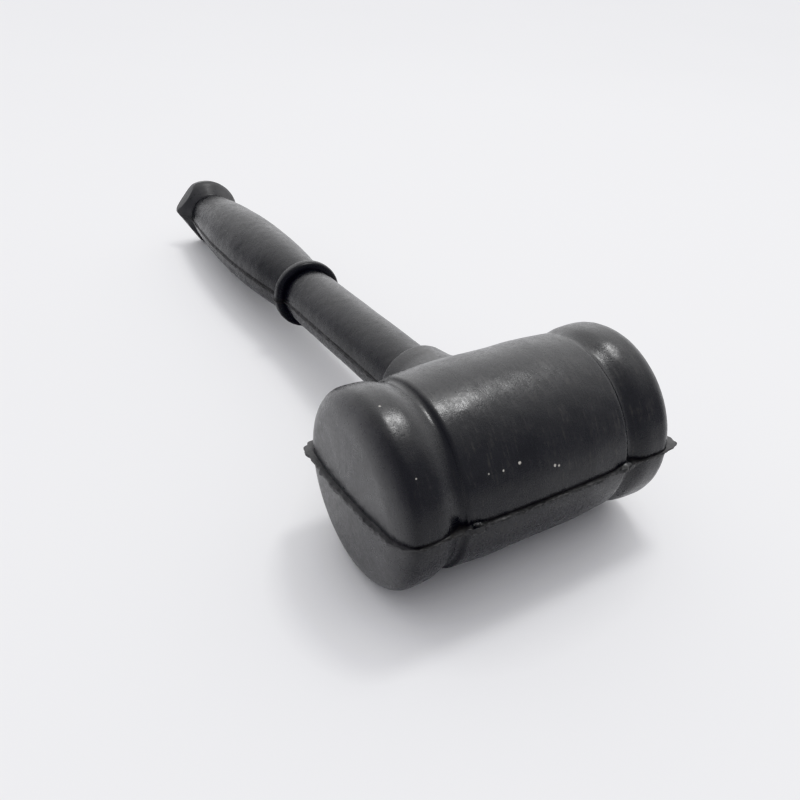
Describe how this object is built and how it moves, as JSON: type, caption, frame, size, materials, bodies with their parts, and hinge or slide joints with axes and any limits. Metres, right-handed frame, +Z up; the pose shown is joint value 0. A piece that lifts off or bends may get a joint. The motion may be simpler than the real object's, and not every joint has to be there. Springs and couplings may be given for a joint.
{
  "type": "rubber mallet",
  "caption": "One-hand rubber mallet lying at rest: grooved barrel head with domed faces and a parting fin, collar, round shaft, guard ring, swelled grip and pommel over a steel core.",
  "frame": {"origin": "on the surface that the mallet lies on, under the middle of its bounding box", "axes": "+X along the head's axis towards the right-hand striking face, +Y level towards the pommel, +Z up from the surface; the handle slopes down 2.93 degrees from the head to the pommel"},
  "size_m": [0.114, 0.3314, 0.0658],
  "materials": {
    "head_rubber": "moulded, semi-matt",
    "handle_rubber": "moulded, semi-matt",
    "core_steel": "bare drawn steel"
  },
  "bodies": {
    "root": {"head_moulding": "head_rubber", "handle_sleeve": "handle_rubber", "hand_grip": "handle_rubber", "core_tube": "core_steel", "cross_pin": "core_steel", "front_plug": "core_steel", "rear_plug": "core_steel"}
  },
  "joints": []
}
